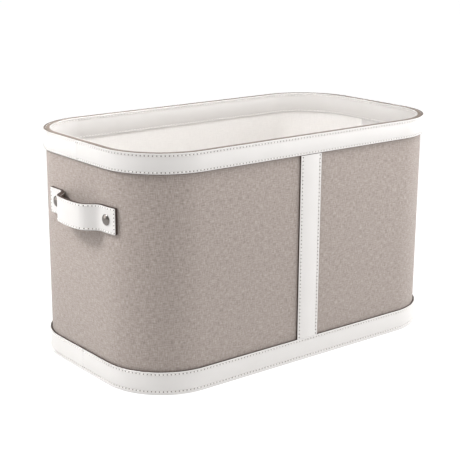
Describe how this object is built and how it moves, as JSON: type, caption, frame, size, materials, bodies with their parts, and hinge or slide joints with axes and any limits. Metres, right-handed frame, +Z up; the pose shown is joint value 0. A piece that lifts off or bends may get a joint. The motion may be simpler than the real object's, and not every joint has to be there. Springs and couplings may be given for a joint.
{
  "type": "fabric storage bin",
  "caption": "Rounded rectangular storage bin with a linen-covered wall, stitched leather bands and straps, and a riveted leather handle at each short end.",
  "frame": {"origin": "centre of the underside, on the surface that the bin stands on", "axes": "+X along the long side, +Y from the front long wall to the back one, +Z up; the handles are on the short ends at -X and +X"},
  "size_m": [0.477, 0.247, 0.258],
  "materials": {
    "leather": "smooth white leather with a fine grain, painted edges and tonal stitching",
    "linen": "fine taupe linen weave",
    "lining": "smooth off-white lining cloth",
    "board": "plain grey board",
    "felt": "pressed felt",
    "filler": "bonded leather with dark painted edges",
    "rivet_metal": "polished, dark nickel tone"
  },
  "bodies": {
    "root": {"wall_core": "board", "base_board": "board", "base_underside": "felt", "linen_left": "linen", "linen_right": "linen", "lining_front": "lining", "lining_back": "lining", "floor_board": "board", "floor_cover": "lining", "rim_band_outer": "leather", "rim_band_inner": "leather", "base_band": "leather", "strap_front": "leather", "strap_back": "leather", "inner_strap_left": "leather", "inner_strap_right": "leather", "handle_left_face": "leather", "handle_left_filler": "filler", "handle_left_backing": "leather", "handle_right_face": "leather", "handle_right_filler": "filler", "handle_right_backing": "leather", "rivet_left_front_cap": "rivet_metal", "rivet_left_front_back": "rivet_metal", "rivet_left_back_cap": "rivet_metal", "rivet_left_back_back": "rivet_metal", "rivet_right_front_cap": "rivet_metal", "rivet_right_front_back": "rivet_metal", "rivet_right_back_cap": "rivet_metal", "rivet_right_back_back": "rivet_metal"}
  },
  "joints": []
}
